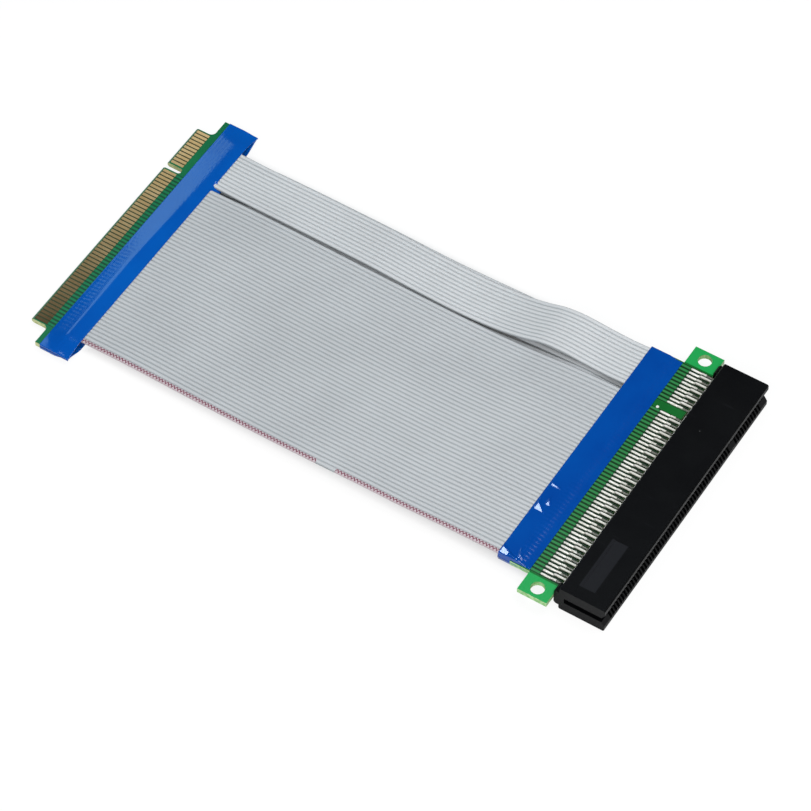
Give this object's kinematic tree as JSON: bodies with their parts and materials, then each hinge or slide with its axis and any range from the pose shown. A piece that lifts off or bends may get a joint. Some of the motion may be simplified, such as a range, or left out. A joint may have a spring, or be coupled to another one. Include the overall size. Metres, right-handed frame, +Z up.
{
  "type": "pci riser cable",
  "caption": "Flat ribbon riser cable with a gold-fingered card-edge board at one end and a card socket on a small board at the other, its joints wrapped in blue tape.",
  "frame": {"origin": "middle of the footprint, on the surface the cable lies on", "axes": "+X along the ribbons from the card edge to the socket, +Y across the contact rows towards the key, +Z up"},
  "size_m": [0.1806, 0.093, 0.0087],
  "materials": {
    "green_laminate": "glass-epoxy board under green solder mask, satin gloss",
    "black_housing": "moulded black plastic, fine matt grain",
    "grey_ribbon": "extruded grey vinyl, satin",
    "blue_tape": "glossy insulating film",
    "gold_finger": "gold-plated copper, slightly worn",
    "tin_contact": "tinned contact tails and bright solder",
    "white_ink": "screened white ink"
  },
  "bodies": {
    "root": {"edge_board": "green_laminate", "socket_board": "green_laminate", "socket_housing": "black_housing", "ribbon_wide_top": "grey_ribbon", "ribbon_wide_bottom": "grey_ribbon", "ribbon_narrow_top": "grey_ribbon", "ribbon_narrow_bottom": "grey_ribbon", "edge_tape_top": "blue_tape", "edge_tape_bottom": "blue_tape", "socket_tape_top": "blue_tape", "socket_tape_bottom": "blue_tape"}
  },
  "joints": []
}
